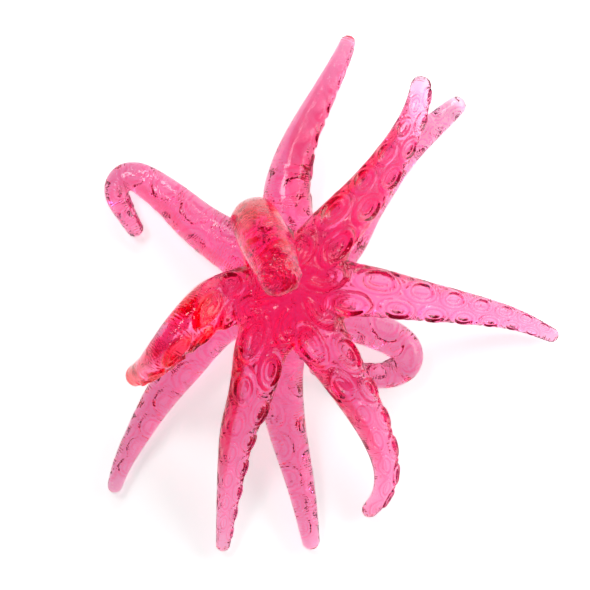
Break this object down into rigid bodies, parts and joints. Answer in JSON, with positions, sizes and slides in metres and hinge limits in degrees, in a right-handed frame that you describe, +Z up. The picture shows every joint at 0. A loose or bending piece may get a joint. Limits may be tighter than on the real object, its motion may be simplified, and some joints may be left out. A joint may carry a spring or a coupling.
{
  "type": "stretchy octopus toy",
  "caption": "Soft clear pink rubber octopus hand toy: two stacked star-shaped hubs with tapered, suckered arms that bend in every direction.",
  "frame": {"origin": "on the hub's axis, at the flat underside that the toy lies on", "axes": "+Z up from the floor through both hubs, +X along the first upper arm, +Y by the right-hand rule"},
  "size_m": [0.1353, 0.1539, 0.069],
  "materials": {
    "gel_rubber": "glossy, translucent, tinted all through"
  },
  "bodies": {
    "hub": {"upper_hub": "gel_rubber", "lower_hub": "gel_rubber"},
    "upper_arm_1_base": {"upper_arm_1_base": "gel_rubber"},
    "upper_arm_1_tip": {"upper_arm_1_tip": "gel_rubber"},
    "upper_arm_2_base": {"upper_arm_2_base": "gel_rubber"},
    "upper_arm_2_tip": {"upper_arm_2_tip": "gel_rubber"},
    "upper_arm_3_base": {"upper_arm_3_base": "gel_rubber"},
    "upper_arm_3_tip": {"upper_arm_3_tip": "gel_rubber"},
    "upper_arm_4_base": {"upper_arm_4_base": "gel_rubber"},
    "upper_arm_4_tip": {"upper_arm_4_tip": "gel_rubber"},
    "upper_arm_5_base": {"upper_arm_5_base": "gel_rubber"},
    "upper_arm_5_tip": {"upper_arm_5_tip": "gel_rubber"},
    "upper_arm_6_base": {"upper_arm_6_base": "gel_rubber"},
    "upper_arm_6_tip": {"upper_arm_6_tip": "gel_rubber"},
    "lower_arm_1_base": {"lower_arm_1_base": "gel_rubber"},
    "lower_arm_1_tip": {"lower_arm_1_tip": "gel_rubber"},
    "lower_arm_2_base": {"lower_arm_2_base": "gel_rubber"},
    "lower_arm_2_tip": {"lower_arm_2_tip": "gel_rubber"},
    "lower_arm_3_base": {"lower_arm_3_base": "gel_rubber"},
    "lower_arm_3_tip": {"lower_arm_3_tip": "gel_rubber"},
    "lower_arm_4_base": {"lower_arm_4_base": "gel_rubber"},
    "lower_arm_4_tip": {"lower_arm_4_tip": "gel_rubber"},
    "lower_arm_5_base": {"lower_arm_5_base": "gel_rubber"},
    "lower_arm_5_tip": {"lower_arm_5_tip": "gel_rubber"},
    "lower_arm_6_base": {"lower_arm_6_base": "gel_rubber"},
    "lower_arm_6_tip": {"lower_arm_6_tip": "gel_rubber"}
  },
  "joints": [
    {"name": "upper_arm_1_lift", "type": "hinge", "parent": "hub", "child": "upper_arm_1_base", "pos_m": [0.02, -0.001, 0.02321], "axis": [-0.0905, -0.9959, 0], "range_deg": [-8, 25], "stiffness_Nm_per_rad": 0.04},
    {"name": "upper_arm_1_curl", "type": "hinge", "parent": "upper_arm_1_base", "child": "upper_arm_1_tip", "pos_m": [0.045, -0.005, 0.01471], "axis": [-0.1724, -0.985, 0], "range_deg": [-15, 30], "stiffness_Nm_per_rad": 0.012},
    {"name": "upper_arm_2_lift", "type": "hinge", "parent": "hub", "child": "upper_arm_2_base", "pos_m": [0.0123, 0.0158, 0.02321], "axis": [0.7763, -0.6304, 0], "range_deg": [0, 25], "stiffness_Nm_per_rad": 0.04},
    {"name": "upper_arm_2_curl", "type": "hinge", "parent": "upper_arm_2_base", "child": "upper_arm_2_tip", "pos_m": [0.0285, 0.0358, 0.01741], "axis": [0.825, -0.5651, 0], "range_deg": [0, 30], "stiffness_Nm_per_rad": 0.012},
    {"name": "upper_arm_3_lift", "type": "hinge", "parent": "hub", "child": "upper_arm_3_base", "pos_m": [-0.0076, 0.0142, 0.02671], "axis": [0.8842, 0.4672, 0], "range_deg": [-15, 8], "stiffness_Nm_per_rad": 0.04},
    {"name": "upper_arm_3_curl", "type": "hinge", "parent": "upper_arm_3_base", "child": "upper_arm_3_tip", "pos_m": [-0.0086, 0.0164, 0.04721], "axis": [0.8842, 0.4672, 0], "range_deg": [-25, 25], "stiffness_Nm_per_rad": 0.012},
    {"name": "upper_arm_4_lift", "type": "hinge", "parent": "hub", "child": "upper_arm_4_base", "pos_m": [-0.0192, -0.004, 0.02621], "axis": [-0.2873, 0.9578, 0], "range_deg": [0, 12], "stiffness_Nm_per_rad": 0.04},
    {"name": "upper_arm_4_curl", "type": "hinge", "parent": "upper_arm_4_base", "child": "upper_arm_4_tip", "pos_m": [-0.0305, -0.0128, 0.03671], "axis": [-0.7241, 0.6897, 0], "range_deg": [-5, 30], "stiffness_Nm_per_rad": 0.012},
    {"name": "upper_arm_5_lift", "type": "hinge", "parent": "hub", "child": "upper_arm_5_base", "pos_m": [-0.0084, -0.0182, 0.02321], "axis": [-0.9341, 0.357, 0], "range_deg": [0, 25], "stiffness_Nm_per_rad": 0.04},
    {"name": "upper_arm_5_curl", "type": "hinge", "parent": "upper_arm_5_base", "child": "upper_arm_5_tip", "pos_m": [-0.015, -0.0415, 0.01441], "axis": [-0.9708, 0.2398, 0], "range_deg": [-10, 30], "stiffness_Nm_per_rad": 0.012},
    {"name": "upper_arm_6_lift", "type": "hinge", "parent": "hub", "child": "upper_arm_6_base", "pos_m": [0.0103, -0.0172, 0.02321], "axis": [-0.8535, -0.5211, 0], "range_deg": [0, 20], "stiffness_Nm_per_rad": 0.04},
    {"name": "upper_arm_6_curl", "type": "hinge", "parent": "upper_arm_6_base", "child": "upper_arm_6_tip", "pos_m": [0.0223, -0.037, 0.01381], "axis": [-0.8925, -0.451, 0], "range_deg": [-10, 30], "stiffness_Nm_per_rad": 0.012},
    {"name": "lower_arm_1_swing", "type": "hinge", "parent": "hub", "child": "lower_arm_1_base", "pos_m": [0.0145, 0.013, 0.00774], "axis": [0, 0, 1], "range_deg": [-10, 10], "stiffness_Nm_per_rad": 0.04},
    {"name": "lower_arm_1_bend", "type": "hinge", "parent": "lower_arm_1_base", "child": "lower_arm_1_tip", "pos_m": [0.0325, 0.0385, 0.00517], "axis": [0, 0, 1], "range_deg": [-20, 15], "stiffness_Nm_per_rad": 0.012},
    {"name": "lower_arm_2_swing", "type": "hinge", "parent": "hub", "child": "lower_arm_2_base", "pos_m": [-0.0008, 0.02, 0.00774], "axis": [0, 0, 1], "range_deg": [-12, 12], "stiffness_Nm_per_rad": 0.04},
    {"name": "lower_arm_2_bend", "type": "hinge", "parent": "lower_arm_2_base", "child": "lower_arm_2_tip", "pos_m": [0.003, 0.043, 0.0058], "axis": [0, 0, 1], "range_deg": [-20, 20], "stiffness_Nm_per_rad": 0.012},
    {"name": "lower_arm_3_swing", "type": "hinge", "parent": "hub", "child": "lower_arm_3_base", "pos_m": [-0.0164, 0.0113, 0.00774], "axis": [0, 0, 1], "range_deg": [-12, 12], "stiffness_Nm_per_rad": 0.04},
    {"name": "lower_arm_3_bend", "type": "hinge", "parent": "lower_arm_3_base", "child": "lower_arm_3_tip", "pos_m": [-0.035, 0.0256, 0.00581], "axis": [0, 0, 1], "range_deg": [-15, 20], "stiffness_Nm_per_rad": 0.012},
    {"name": "lower_arm_4_swing", "type": "hinge", "parent": "hub", "child": "lower_arm_4_base", "pos_m": [-0.0182, -0.008, 0.00774], "axis": [0, 0, 1], "range_deg": [-8, 12], "stiffness_Nm_per_rad": 0.04},
    {"name": "lower_arm_4_bend", "type": "hinge", "parent": "lower_arm_4_base", "child": "lower_arm_4_tip", "pos_m": [-0.0345, -0.027, 0.00567], "axis": [0, 0, 1], "range_deg": [-12, 20], "stiffness_Nm_per_rad": 0.012},
    {"name": "lower_arm_5_swing", "type": "hinge", "parent": "hub", "child": "lower_arm_5_base", "pos_m": [-0.0031, -0.0198, 0.00774], "axis": [0, 0, 1], "range_deg": [-8, 0], "stiffness_Nm_per_rad": 0.04},
    {"name": "lower_arm_5_bend", "type": "hinge", "parent": "lower_arm_5_base", "child": "lower_arm_5_tip", "pos_m": [-0.0008, -0.0425, 0.00586], "axis": [0, 0, 1], "range_deg": [-10, 15], "stiffness_Nm_per_rad": 0.012},
    {"name": "lower_arm_6_swing", "type": "hinge", "parent": "hub", "child": "lower_arm_6_base", "pos_m": [0.0175, -0.0096, 0.00629], "axis": [0, 0, 1], "range_deg": [0, 10], "stiffness_Nm_per_rad": 0.04},
    {"name": "lower_arm_6_bend", "type": "hinge", "parent": "lower_arm_6_base", "child": "lower_arm_6_tip", "pos_m": [0.031, -0.0156, 0.00532], "axis": [0, 0, 1], "range_deg": [0, 15], "stiffness_Nm_per_rad": 0.012}
  ]
}
